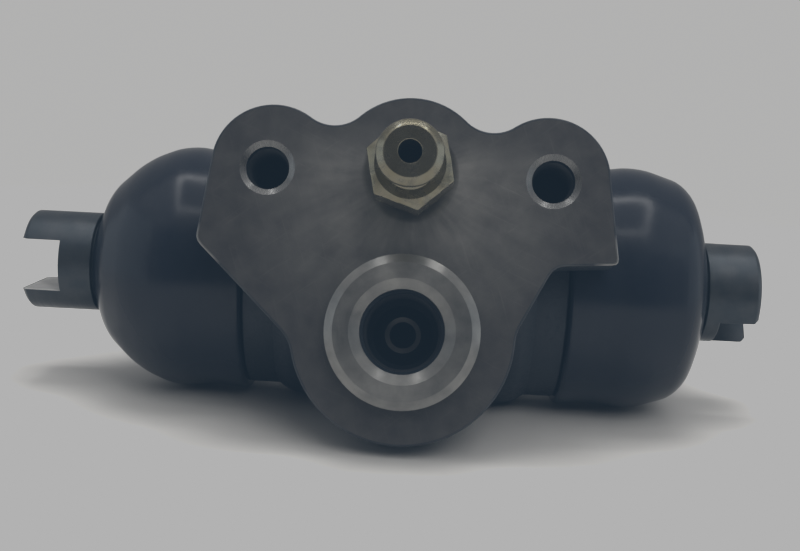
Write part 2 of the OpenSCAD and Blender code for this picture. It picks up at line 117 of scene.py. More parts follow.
class Recipe:
    """A material's node tree, with short calls that add nodes and join them."""

    def __init__(self, name: str) -> None:
        """Starts a material with one principled shader on Object coordinates.

        Args:
            name: Name of the new material.
        """
        self.material = bpy.data.materials.new(name)
        self.material.use_nodes = True
        self.tree = self.material.node_tree
        self.tree.nodes.clear()
        self.shader = self.tree.nodes.new("ShaderNodeBsdfPrincipled")
        self.end = self.tree.nodes.new("ShaderNodeOutputMaterial")
        self.join(self.shader.outputs["BSDF"], self.end.inputs["Surface"])
        self.place = self.tree.nodes.new("ShaderNodeTexCoord").outputs["Object"]

    def join(self, source: Socket, target: Socket) -> None:
        """Links one socket to another."""
        self.tree.links.new(source, target)

    def feed(self, socket: Socket, value: Value) -> None:
        """Links a socket to another one, or sets it to a plain value.

        Args:
            socket: The input that is filled.
            value: A socket, a number or a colour.
        """
        if isinstance(value, Socket):
            self.join(value, socket)
        elif isinstance(value, tuple) and socket.type == "RGBA":
            socket.default_value = (*value, 1.0)
        else:
            socket.default_value = value

    def shade(self, **values: Value) -> None:
        """Fills inputs of the shader, named in lower case with low lines.

        Args:
            **values: A value or a socket for each input.
        """
        for name, value in values.items():
            title = name.replace("_", " ").title().replace("Ior", "IOR")
            self.feed(self.shader.inputs[title], value)

    def math(self, kind: str, first: Value, second: Value = 0.0) -> Socket:
        """Adds one step of arithmetic.

        Args:
            kind: Blender's name of the operation.
            first: Left value or socket.
            second: Right value or socket.

        Returns:
            The result's socket.
        """
        node = self.tree.nodes.new("ShaderNodeMath")
        node.operation = kind
        self.feed(node.inputs[0], first)
        self.feed(node.inputs[1], second)
        return node.outputs[0]

    def stretched(self, longer: Point, turn: float = 0.0) -> Socket:
        """Stretches the coordinates, so that a pattern runs along one direction.

        Args:
            longer: How many times longer the pattern gets along each axis.
            turn: Turn of these axes about Y in degrees.

        Returns:
            The stretched coordinates.
        """
        node = self.tree.nodes.new("ShaderNodeMapping")
        node.vector_type = "TEXTURE"
        self.join(self.place, node.inputs["Vector"])
        node.inputs["Scale"].default_value = longer
        node.inputs["Rotation"].default_value = (0.0, math.radians(turn), 0.0)
        return node.outputs[0]

    def noise(self, grain: float, detail: float = 4.0, place: Socket | None = None) -> Socket:
        """Adds a noise pattern.

        Args:
            grain: Size of its largest features in millimetres.
            detail: How many finer layers it has.
            place: Coordinates that it reads.

        Returns:
            A value from 0 to 1.
        """
        node = self.tree.nodes.new("ShaderNodeTexNoise")
        self.join(place or self.place, node.inputs["Vector"])
        node.inputs["Scale"].default_value = 1.0 / (grain * MM)
        node.inputs["Detail"].default_value = detail
        return node.outputs["Fac"]

    def spread(
        self, value: Socket, low: float, high: float, start: float = 0.3, end: float = 0.7
    ) -> Socket:
        """Maps a pattern's middle range onto new limits.

        Args:
            value: The pattern.
            low: Result at start.
            high: Result at end.
            start: Pattern value that gives low.
            end: Pattern value that gives high.

        Returns:
            The mapped value.
        """
        node = self.tree.nodes.new("ShaderNodeMapRange")
        self.join(value, node.inputs["Value"])
        limits = {"From Min": start, "From Max": end, "To Min": low, "To Max": high}
        for name, number in limits.items():
            node.inputs[name].default_value = number
        return node.outputs[0]

    def mix(self, share: Socket | float, first: Value, second: Value) -> Socket:
        """Mixes two colours.

        Args:
            share: How much of the second shows, as a number or a socket.
            first: Colour or socket at share 0.
            second: Colour or socket at share 1.

        Returns:
            The mixed colour.
        """
        node = self.tree.nodes.new("ShaderNodeMix")
        node.data_type = "RGBA"
        self.feed(node.inputs[0], share)
        for place, colour in zip(MIX_COLOURS, (first, second)):
            self.feed(node.inputs[place], colour)
        return node.outputs[MIX_RESULT]

    def bump(self, height: Socket, depth: float, under: Socket | None = None) -> Socket:
        """Turns a pattern into fine relief.

        Args:
            height: The pattern.
            depth: Height of the relief in millimetres.
            under: Relief that lies below this one.

        Returns:
            The normal for the shader.
        """
        node = self.tree.nodes.new("ShaderNodeBump")
        node.inputs["Strength"].default_value = 1.0
        node.inputs["Distance"].default_value = depth * MM
        self.join(height, node.inputs["Height"])
        if under is not None:
            self.join(under, node.inputs["Normal"])
        return node.outputs[0]

    def split(self, centre: Point = ORIGIN) -> dict[str, Socket]:
        """Splits the coordinates, measured from a centre, into three values.

        Args:
            centre: The centre in millimetres.

        Returns:
            The values under the names X, Y and Z, in metres.
        """
        moved = self.tree.nodes.new("ShaderNodeMapping")
        self.join(self.place, moved.inputs["Vector"])
        moved.inputs["Location"].default_value = tuple(-c * MM for c in centre)
        parts = self.tree.nodes.new("ShaderNodeSeparateXYZ")
        self.join(moved.outputs[0], parts.inputs[0])
        return {name: parts.outputs[name] for name in "XYZ"}

    def joined_place(self, *parts: Socket | float) -> Socket:
        """Makes coordinates from three values.

        Args:
            *parts: Sockets or numbers for X, Y and Z.

        Returns:
            The coordinates.
        """
        node = self.tree.nodes.new("ShaderNodeCombineXYZ")
        for socket, part in zip(node.inputs, parts):
            self.feed(socket, part)
        return node.outputs[0]

    def round_place(self, centre: Point, axis: Lathe) -> tuple[Socket, Socket]:
        """Gives polar coordinates about an axis.

        Args:
            centre: A point on the axis in millimetres.
            axis: The axis that the marks go round.

        Returns:
            The distance from the axis in metres, and the angle in radians.
        """
        parts = self.split(centre)
        across = parts["X"] if axis is Lathe.FLANGE else parts["Y"]
        up = parts["Z"]
        squares = [self.math("MULTIPLY", part, part) for part in (across, up)]
        return self.math("SQRT", self.math("ADD", *squares)), self.math("ARCTAN2", up, across)

    def outward(self, centre: Point) -> Socket:
        """Gives the direction away from an axis along Y, across the marks that go round it.

        Args:
            centre: A point on the axis in millimetres.

        Returns:
            The direction.
        """
        parts = self.split(centre)
        return self.joined_place(parts["X"], 0.0, parts["Z"])


@dataclass(frozen=True)
class CastSkin:
    """Dark coated iron as it comes from the mould."""

    name: str = "coated_cast_iron"
    dark: Colour = (0.014, 0.019, 0.026)
    pale: Colour = (0.028, 0.034, 0.042)
    sand: float = 0.45
    sand_depth: float = 0.05
    least_sand: float = 0.4
    patch: float = 6.0
    metallic: float = 0.25
    roughness: Range = (0.42, 0.62)

    def make(self) -> bpy.types.Material:
        """Builds the material: patchy coat over a sandy skin.

        Returns:
            The material.
        """
        recipe = Recipe(self.name)
        sand = recipe.noise(self.sand, detail=6.0)
        patches = recipe.spread(recipe.noise(self.patch, detail=3.0), 0.0, 1.0)
        worn = recipe.math("MULTIPLY", patches, recipe.spread(sand, self.least_sand, 1.0))
        recipe.shade(
            base_color=recipe.mix(worn, self.dark, self.pale),
            metallic=self.metallic,
            roughness=recipe.spread(sand, *self.roughness),
            normal=recipe.bump(sand, self.sand_depth),
        )
        return recipe.material


@dataclass(frozen=True)
class WornEdgeAndPaintedGlints:
    """Edge of the machined face, where the coat is rubbed through in patches, with bare metal
    painted at two corners as painted highlights.
    """

    name: str = "worn_flange_edge_and_painted_glints"
    coat: Colour = (0.03, 0.034, 0.04)
    bare_and_sheen: Colour = (0.27, 0.268, 0.26)
    patch: float = 5.0
    patch_range: Range = (0.44, 0.62)
    patch_share: float = 0.12
    # The two corners take painted highlights: bare bright metal painted where the edge glints.
    corners: tuple[Point, ...] = ((-22.8, 0.0, -9.2), (24.0, 0.0, -8.6))
    glint_range: Range = (1.4, 2.8)
    metallic: Range = (0.3, 0.85)
    roughness: Range = (0.5, 0.32)
    pit: float = 0.3
    pit_depth: float = 0.006

    def make(self) -> bpy.types.Material:
        """Builds the material: a dark coat, thin in random patches, with bare bright metal painted
        round two corners as painted highlights.

        Returns:
            The material.
        """
        recipe = Recipe(self.name)
        wear_and_glint = recipe.spread(recipe.noise(self.patch), 0.0, self.patch_share, *self.patch_range)
        # Painted highlights: the bare colour spreads round each of the two corners.
        for corner in self.corners:
            reach, _ = recipe.round_place(corner, Lathe.FLANGE)
            painted_glint = recipe.spread(reach, 1.0, 0.0, *(r * MM for r in self.glint_range))
            wear_and_glint = recipe.math("MAXIMUM", wear_and_glint, painted_glint)
        recipe.shade(
            base_color=recipe.mix(wear_and_glint, self.coat, self.bare_and_sheen),
            metallic=recipe.spread(wear_and_glint, *self.metallic, 0.0, 1.0),
            roughness=recipe.spread(wear_and_glint, *self.roughness, 0.0, 1.0),
            normal=recipe.bump(recipe.noise(self.pit), self.pit_depth),
        )
        return recipe.material


@dataclass(frozen=True)
class MachinedFace:
    """Milled flange face: warm grey with fine scratches that fan out from the bleed screw."""

    name: str = "machined_flange_face"
    dark: Colour = (0.066, 0.064, 0.066)
    pale: Colour = (0.092, 0.09, 0.088)
    mottle: float = 2.2
    rubbed: Colour = (0.235, 0.23, 0.218)
    rubbed_share: float = 0.9
    rubbed_drop: float = 1.5
    rubbed_range: Range = (6.0, 20.0)
    top_range: Range = (1.0, 6.0)
    top_share: float = 0.15
    patch: float = 4.0
    least_patch: float = 0.35
    ray: float = 1.1
    ray_spacing: float = 11.0
    ray_stretch: float = 0.25
    ray_range: Range = (0.35, 0.85)
    ray_share: float = 0.35
    scratch: float = 0.28
    scratch_length: float = 26.0
    scratch_range: Range = (0.6, 0.78)
    scratch_share: float = 0.12
    scratch_depth: float = 0.004
    scratch_turns: tuple[float, ...] = (24.0, -38.0, 71.0)
    metallic: float = 0.55
    roughness: Range = (0.4, 0.54)
    gloss_patch: float = 3.0
    pit: float = 0.3
    pit_depth: float = 0.005

    def rubbed_zone(self, recipe: Recipe) -> Socket:
        """Marks the zone round the bleed screw that is rubbed bright, and weaker above it.

        Args:
            recipe: The material that is being built.

        Returns:
            The zone, from 0 to 1.
        """
        reach, _ = recipe.round_place((0.0, 0.0, -self.rubbed_drop), Lathe.FLANGE)
        zone = recipe.spread(reach, 1.0, 0.0, *(r * MM for r in self.rubbed_range))
        height = recipe.split()["Z"]
        below = recipe.spread(height, 1.0, self.top_share, *(z * MM for z in self.top_range))
        return recipe.math("MULTIPLY", zone, below)

    def rays(self, recipe: Recipe) -> Socket:
        """Draws short marks that point away from the bleed screw.

        Args:
            recipe: The material that is being built.

        Returns:
            The marks, from 0 to 1.
        """
        radius, angle = recipe.round_place(ORIGIN, Lathe.FLANGE)
        around = recipe.math("MULTIPLY", angle, self.ray_spacing * MM)
        along = recipe.math("MULTIPLY", radius, self.ray_stretch)
        fan = recipe.joined_place(around, along, 0.0)
        marks = recipe.noise(self.ray, detail=5.0, place=fan)
        return recipe.spread(marks, 0.0, 1.0, *self.ray_range)

    def scratches(self, recipe: Recipe) -> Socket:
        """Draws stray scratches in a few directions.

        Args:
            recipe: The material that is being built.

        Returns:
            The scratches, from 0 to 1.
        """
        longer = (self.scratch_length, 1.0, 1.0)
        found = None
        for turn in self.scratch_turns:
            drawn = recipe.stretched(longer, turn)
            lines = recipe.noise(self.scratch, detail=2.0, place=drawn)
            sparse = recipe.spread(lines, 0.0, 1.0, *self.scratch_range)
            found = sparse if found is None else recipe.math("MAXIMUM", found, sparse)
        return found

    def make(self) -> bpy.types.Material:
        """Builds the material: mottled coat, a rubbed zone with short rays, and stray scratches.

        Returns:
            The material.
        """
        recipe = Recipe(self.name)
        scratches = self.scratches(recipe)
        uneven = recipe.spread(recipe.noise(self.patch), self.least_patch, 1.0)
        rays = recipe.math("MULTIPLY", self.rays(recipe), self.ray_share)
        worn = recipe.math("MULTIPLY", self.rubbed_zone(recipe), recipe.math("ADD", uneven, rays))
        shine = recipe.math(
            "ADD",
            recipe.math("MULTIPLY", worn, self.rubbed_share),
            recipe.math("MULTIPLY", scratches, self.scratch_share),
        )
        mottle = recipe.spread(recipe.noise(self.mottle, detail=6.0), 0.0, 1.0)
        pits = recipe.bump(recipe.noise(self.pit), self.pit_depth)
        recipe.shade(
            base_color=recipe.mix(shine, recipe.mix(mottle, self.dark, self.pale), self.rubbed),
            metallic=self.metallic,
            roughness=recipe.spread(recipe.noise(self.gloss_patch, detail=5.0), *self.roughness),
            normal=recipe.bump(scratches, -self.scratch_depth, pits),
        )
        return recipe.material


@dataclass(frozen=True)
class TurnedSteel:
    """Bare metal left by a lathe or a drill, with rings that follow the tool."""

    name: str
    colour: Colour
    stain: Colour
    centre: Point
    axis: Lathe
    roughness: float
    metallic: float = 0.85
    gloss_play: Range = (-0.06, 0.1)
    stain_patch: float = 2.6
    stain_range: Range = (0.35, 0.75)
    ring_pitch: float = 0.22
    ring_depth: float = 0.004
    ring_drift: float = 0.02
    pit: float = 0.12
    pit_depth: float = 0.002
    groove: float = 0.0

    def make(self) -> bpy.types.Material:
        """Builds the material: tool rings, stains and small changes of gloss.

        Returns:
            The material.
        """
        recipe = Recipe(self.name)
        radius, angle = recipe.round_place(self.centre, self.axis)
        travel = recipe.math("ADD", radius, recipe.split()[self.axis.value])
        drift = recipe.math("MULTIPLY", angle, self.ring_drift * MM)
        tool_path = recipe.joined_place(travel, drift, 0.0)
        rings = recipe.noise(self.ring_pitch, detail=3.0, place=tool_path)
        stains = recipe.noise(self.stain_patch, detail=5.0)
        pits = recipe.bump(recipe.noise(self.pit, detail=3.0), self.pit_depth)
        recipe.shade(
            base_color=recipe.mix(
                recipe.spread(stains, 0.0, 1.0, *self.stain_range), self.colour, self.stain
            ),
            metallic=self.metallic,
            roughness=recipe.spread(rings, *(self.roughness + play for play in self.gloss_play)),
            normal=recipe.bump(rings, self.ring_depth, pits),
        )
        if self.groove:
            recipe.shade(anisotropic=self.groove, tangent=recipe.outward(self.centre))
        return recipe.material


@dataclass(frozen=True)
class MouldedRubber:
    """Moulded rubber with a soft gloss, a fine grain and a little dust."""

    name: str
    colour: Colour
    dust: Colour
    roughness: float
    gloss_play: Range = (-0.04, 0.1)
    specular: float = 0.28
    grain: float = 0.25
    grain_depth: float = 0.006
    flow: float = 7.0
    flow_stretch: Point = (1.0, 2.0, 3.0)
    flow_depth: float = 0.05
    dust_share: float = 0.55
    speck: float = 0.9
    least_speck: float = 0.35

    def make(self) -> bpy.types.Material:
        """Builds the material: fine grain, flow marks and dust in patches.

        Returns:
            The material.
        """
        recipe = Recipe(self.name)
        grain = recipe.noise(self.grain)
        drawn = recipe.stretched(self.flow_stretch)
        flow = recipe.noise(self.flow, detail=3.0, place=drawn)
        specks = recipe.spread(recipe.noise(self.speck, detail=6.0), self.least_speck, 1.0)
        dust = recipe.math("MULTIPLY", recipe.spread(flow, 0.0, self.dust_share), specks)
        recipe.shade(
            base_color=recipe.mix(dust, self.colour, self.dust),
            specular_ior_level=self.specular,
            roughness=recipe.spread(flow, *(self.roughness + play for play in self.gloss_play)),
            normal=recipe.bump(grain, self.grain_depth, recipe.bump(flow, self.flow_depth)),
        )
        return recipe.material


@dataclass(frozen=True)
class ZincPlate:
    """Pale yellow zinc plating over turned steel, darker where it is handled."""

    name: str = "yellow_zinc_plate"
    pale: Colour = (0.27, 0.256, 0.2)
    gold: Colour = (0.22, 0.196, 0.13)
    grey: Colour = (0.13, 0.13, 0.118)
    cloud: float = 2.2
    smudge: float = 1.1
    smudge_stretch: Point = (1.0, 1.7, 0.7)
    smudge_range: Range = (0.5, 0.8)
    smudge_share: float = 0.7
    ring_pitch: float = 0.2
    ring_depth: float = 0.0012
    metallic: float = 0.9
    roughness: Range = (0.19, 0.3)

    def make(self) -> bpy.types.Material:
        """Builds the material: clouds of yellow and grey over fine tool rings.

        Returns:
            The material.
        """
        recipe = Recipe(self.name)
        clouds = recipe.spread(recipe.noise(self.cloud), 0.0, 1.0)
        wiped = recipe.stretched(self.smudge_stretch)
        smudge = recipe.noise(self.smudge, detail=6.0, place=wiped)
        handled = recipe.spread(smudge, 0.0, self.smudge_share, *self.smudge_range)
        radius, _ = recipe.round_place(ORIGIN, Lathe.FLANGE)
        travel = recipe.math("ADD", radius, recipe.split()["Y"])
        tool_path = recipe.joined_place(travel, 0.0, 0.0)
        rings = recipe.noise(self.ring_pitch, detail=3.0, place=tool_path)
        recipe.shade(
            base_color=recipe.mix(handled, recipe.mix(clouds, self.pale, self.gold), self.grey),
            metallic=self.metallic,
            roughness=recipe.spread(smudge, *self.roughness),
            normal=recipe.bump(rings, self.ring_depth),
        )
        return recipe.material


@dataclass(frozen=True)
class DrawnWire:
    """Bright drawn spring wire with faint marks of the die along it."""

    name: str = "drawn_spring_wire"
    bright: Colour = (0.4, 0.41, 0.43)
    oiled: Colour = (0.2, 0.2, 0.2)
    film: float = 1.8
    film_share: float = 0.8
    mark: float = 0.15
    mark_depth: float = 0.002
    metallic: float = 0.95
    roughness: Range = (0.22, 0.36)

    def make(self) -> bpy.types.Material:
        """Builds the material: oil film in patches over die marks.

        Returns:
            The material.
        """
        recipe = Recipe(self.name)
        film = recipe.spread(recipe.noise(self.film), 0.0, self.film_share)
        marks = recipe.noise(self.mark, detail=3.0)
        recipe.shade(
            base_color=recipe.mix(film, self.bright, self.oiled),
            metallic=self.metallic,
            roughness=recipe.spread(marks, *self.roughness),
            normal=recipe.bump(marks, self.mark_depth),
        )
        return recipe.material


@dataclass(frozen=True)
class PaleFloor:
    """Plain pale board that shows from above only and fades out into the room."""

    name: str = "pale_floor"
    colour: Colour = (0.54, 0.528, 0.511)
    mottle: float = 40.0
    mottle_share: float = 0.985
    roughness: float = 0.85
    fade: Range = (90.0, 260.0)

    def make(self) -> bpy.types.Material:
        """Builds the material: matt and barely mottled, clear from below and far away.

        Returns:
            The material.
        """
        recipe = Recipe(self.name)
        darker = tuple(self.mottle_share * c for c in self.colour)
        tone = recipe.mix(recipe.noise(self.mottle), self.colour, darker)
        recipe.shade(base_color=tone, roughness=self.roughness)
        clear = recipe.tree.nodes.new("ShaderNodeBsdfTransparent")
        choice = recipe.tree.nodes.new("ShaderNodeMixShader")
        facing = recipe.tree.nodes.new("ShaderNodeNewGeometry")
        length = recipe.tree.nodes.new("ShaderNodeVectorMath")
        length.operation = "LENGTH"
        recipe.join(recipe.place, length.inputs[0])
        far = recipe.spread(length.outputs["Value"], 0.0, 1.0, *(f * MM for f in self.fade))
        recipe.join(recipe.math("MAXIMUM", facing.outputs["Backfacing"], far), choice.inputs[0])
        recipe.join(recipe.shader.outputs[0], choice.inputs[1])
        recipe.join(clear.outputs[0], choice.inputs[2])
        recipe.join(choice.outputs[0], recipe.end.inputs["Surface"])
        return recipe.material


@dataclass(frozen=True)
class Bore:
    """The line that both pistons share, behind the flange."""

    back: float = 22.5
    drop: float = 9.9

    def at(self, along: float, radius: float = 0.0) -> Vector:
        """Gives the point at a distance along the bore, in front of it by a radius.

        Args:
            along: Distance along X in millimetres.
            radius: Distance from the bore's line in millimetres.

        Returns:
            The point in metres.
        """
        return Vector((along, self.back - radius, -self.drop)) * MM


BORE = Bore()
BORE_LINE: Point = (0.0, BORE.back, -BORE.drop)

CUT_THREAD = TurnedSteel(
    name="cut_thread",
    colour=(0.05, 0.052, 0.055),
    stain=(0.03, 0.032, 0.035),
    centre=ORIGIN,
    axis=Lathe.FLANGE,
    roughness=0.4,
    metallic=0.6,
)
PISTON_STEEL = TurnedSteel(
    name="dark_piston_steel",
    colour=(0.043, 0.052, 0.061),
    stain=(0.074, 0.08, 0.086),
    centre=BORE_LINE,
    axis=Lathe.BORE,
    roughness=0.36,
    metallic=0.6,
)
# Bright steel on the slots' upward walls: a painted sheen that stands in for the light they mirror
# from above.
SLOT_WALL_SHEEN = TurnedSteel(
    name="slot_walls_painted_sheen",
    colour=(0.62, 0.612, 0.6),
    stain=(0.42, 0.415, 0.405),
    centre=BORE_LINE,
    axis=Lathe.BORE,
    roughness=0.4,
    metallic=0.4,
)
BOOT_RUBBER = MouldedRubber(
    name="boot_rubber",
    colour=(0.01, 0.0135, 0.0215),
    dust=(0.019, 0.0225, 0.029),
    roughness=0.17,
)
SEAL_RUBBER = MouldedRubber(
    name="seal_rubber",
    colour=(0.012, 0.012, 0.013),
    dust=(0.03, 0.03, 0.03),
    roughness=0.42,
)


@dataclass(frozen=True)
class Corner:
    """One corner of a turned profile, with the set-back of its rounding."""

    radius: float
    along: float
    soft: float = 0.0


class Workshop:
    """Mesh steps that several pieces share, with their settings."""

    smooth_limit = math.radians(29.0)
    flat_limit = math.radians(0.6)
    cad_weld = 0.004
    seam_weld = 0.001
    room_share = 1.5
    corner_steps = 6
    turn_steps = 40

    @classmethod
    def merged(cls, node: bpy.types.Object) -> bmesh.types.BMesh:
        """Copies a CAD node's loose triangles into one closed skin of flat faces.

        Args:
            node: The CAD object, which stays as it is.

        Returns:
            The new bmesh.
        """
        bm = bmesh.new()
        bm.from_mesh(node.data)
        for face in bm.faces:
            face.material_index = 0
        bmesh.ops.remove_doubles(bm, verts=bm.verts, dist=cls.cad_weld * MM)
        bmesh.ops.dissolve_degenerate(bm, edges=bm.edges, dist=cls.cad_weld * MM)
        bmesh.ops.dissolve_limit(bm, angle_limit=cls.flat_limit, verts=bm.verts, edges=bm.edges)
        return bm

    @classmethod
    def roomy(cls, edge: bmesh.types.BMEdge, width: float) -> bool:
        """Says whether both faces of an edge have room for a rounding.

        Args:
            edge: An edge between two faces.
            width: Width of the rounding in metres.

        Returns:
            True if both faces reach further from the edge than the rounding does.
        """
        first, last = (vert.co for vert in edge.verts)
        along = (last - first).normalized()
        reaches = [
            max((vert.co - first).cross(along).length for vert in face.verts)
            for face in edge.link_faces
        ]
        return min(reaches) > cls.room_share * width

    @staticmethod
    def rounded(
        bm: bmesh.types.BMesh,
        geom: list[bmesh.types.BMVert] | list[bmesh.types.BMEdge],
        width: float,
        steps: int,
        kind: Rounding,
    ) -> list[bmesh.types.BMFace]:
        """Rounds edges or corners.

        Args:
            bm: The mesh to change.
            geom: Its edges or vertices that are rounded.
            width: Width of the rounding in millimetres.
            steps: Steps of the rounding.
            kind: Whether edges or corners are rounded.

        Returns:
            The faces of the roundings.
        """
        made = bmesh.ops.bevel(
            bm,
            geom=geom,
            offset=width * MM,
            offset_type="OFFSET",
            segments=steps,
            profile=0.5,
            affect=kind.value,
            clamp_overlap=False,
            material=-1,
        )
        return made["faces"]

    @classmethod
    def soften(
        cls,
        bm: bmesh.types.BMesh,
        width: float,
        wanted: Callable[[bmesh.types.BMEdge], bool] = lambda edge: True,
        limit: float = 35.0,
        steps: int = 3,
    ) -> list[bmesh.types.BMFace]:
        """Rounds each outward edge that is sharper than a limit.

        Args:
            bm: The mesh to change.
            width: Width of the rounding in millimetres.
            wanted: Says which of the sharp edges are rounded.
            limit: Least angle between the two faces, in degrees.
            steps: Steps of the rounding.

        Returns:
            The faces of the roundings.
        """
        least = math.radians(limit)
        outward = [e for e in bm.edges if e.is_manifold and e.calc_face_angle_signed() > least]
        sharp = [e for e in outward if wanted(e) and cls.roomy(e, width * MM)]
        return cls.rounded(bm, sharp, width, steps, Rounding.EDGES)

    @classmethod
    def piece(
        cls, name: str, bm: bmesh.types.BMesh, *finishes: bpy.types.Material
    ) -> bpy.types.Object:
        """Turns a bmesh into an object with smooth faces and crisp edges.

        Args:
            name: Name of the piece.
            bm: The mesh, which is freed.
            *finishes: Materials in the order of the faces' slots.

        Returns:
            The new object, at the origin.
        """
        for face in bm.faces:
            face.smooth = True
        for edge in bm.edges:
            edge.smooth = edge.is_manifold and edge.calc_face_angle() < cls.smooth_limit
        mesh = bpy.data.meshes.new(name)
        bm.to_mesh(mesh)
        bm.free()
        cad_normals = mesh.attributes.get("custom_normal")
        if cad_normals is not None:
            mesh.attributes.remove(cad_normals)
        for finish in finishes:
            mesh.materials.append(finish)
        made = bpy.data.objects.new(name, mesh)
        bpy.context.scene.collection.objects.link(made)
        return made

    @staticmethod
    def even(piece: bpy.types.Object) -> None:
        """Keeps large flat faces flat in the light, beside their rounded edges."""
        normals = piece.modifiers.new("even_normals", "WEIGHTED_NORMAL")
        normals.keep_sharp = True

    @classmethod
    def turned(
        cls, bm: bmesh.types.BMesh, bore: Bore, corners: list[Corner], side: Side, steps: int
    ) -> None:
        """Spins a closed profile once round the bore.

        Args:
            bm: The mesh that takes the ring.
            bore: The line to turn about.
            corners: The profile.
            side: The end of the bore that it belongs to.
            steps: Faces round the ring.
        """
        verts = [bm.verts.new(bore.at(side.value * c.along, c.radius)) for c in corners]
        bm.faces.new(verts)
        for vert, corner in zip(verts, corners):
            if corner.soft:
                cls.rounded(bm, [vert], corner.soft, cls.corner_steps, Rounding.CORNERS)
        bmesh.ops.delete(bm, geom=list(bm.faces), context="FACES_ONLY")
        bmesh.ops.spin(
            bm,
            geom=list(bm.verts) + list(bm.edges),
            cent=bore.at(0.0),
            axis=(1.0, 0.0, 0.0),
            angle=math.tau,
            steps=steps,
            use_merge=True,
        )
        bmesh.ops.remove_doubles(bm, verts=bm.verts, dist=cls.seam_weld * MM)
        bmesh.ops.recalc_face_normals(bm, faces=bm.faces)

    @classmethod
    def wind(
        cls, bm: bmesh.types.BMesh, centre: Vector, axis: Vector, turns: float, pitch: float
    ) -> None:
        """Winds the one closed outline in a bmesh into a helix with closed ends.

        Args:
            bm: The mesh with the outline, which takes the coil.
            centre: A point on the coil's line.
            axis: Direction of the coil.
            turns: Number of turns.
            pitch: Advance per turn in millimetres.
        """
        loop = list(bm.edges)
        wound = bmesh.ops.spin(
            bm,
            geom=list(bm.verts) + loop,
            cent=centre,
            axis=axis,
            dvec=axis * (pitch * MM / cls.turn_steps),
            angle=math.tau * turns,
            steps=round(turns * cls.turn_steps),
        )
        last = [g for g in wound["geom_last"] if isinstance(g, bmesh.types.BMEdge)]
        for end in (loop, last):
            bmesh.ops.contextual_create(bm, geom=end)
        bmesh.ops.recalc_face_normals(bm, faces=bm.faces)


@dataclass
class Thread:
    """Cut thread inside one of the casting's tapped holes."""

    name: str
    hole: tuple[float, float]
    minor_r: float
    start: float
    length: float
    body: str = "cylinder"
    slot: str = "cast_body"
    pitch: float = 1.0
    flank_share: float = 0.42
    crest: float = 0.3
    root: float = 0.12
    run_out: float = 0.8
    least_share: float = 0.15

    def fade(self, bm: bmesh.types.BMesh, centre: Vector, foot: float) -> None:
        """Lets the ridge run out into the wall at both ends.

        Args:
            bm: The wound ridge.
            centre: A point on the hole's axis, in metres.
            foot: Radius of the ridge's foot in millimetres.
        """
        for vert in bm.verts:
            along = vert.co.y / MM - self.start
            inside = min(along, self.length - along) / self.run_out
            share = min(1.0, max(self.least_share, inside))
            out = Vector((vert.co.x - centre.x, 0.0, vert.co.z - centre.z))
            vert.co += out.normalized() * (1.0 - share) * max(0.0, foot * MM - out.length)

    def build(self, finish: bpy.types.Material) -> bpy.types.Object:
        """Winds the thread's ridge down the wall of its hole.

        Args:
            finish: The steel inside the hole.

        Returns:
            The thread.
        """
        x, z = self.hole
        half = self.flank_share * self.pitch
        foot = self.minor_r + self.root
        section = [(foot, -half), (self.minor_r - self.crest, 0.0), (foot, half)]
        bm = bmesh.new()
        corners = [bm.verts.new(Vector((x + r, self.start + y, z)) * MM) for r, y in section]
        for first, last in zip(corners, corners[1:] + corners[:1]):
            bm.edges.new((first, last))
        centre = Vector((x, 0.0, z)) * MM
        into = Vector((0.0, 1.0, 0.0))
        Workshop.wind(bm, centre, into, self.length / self.pitch, self.pitch)
        self.fade(bm, centre, foot)
        thread = Workshop.piece(self.name, bm, finish)
        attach(thread, self.body)
        return thread


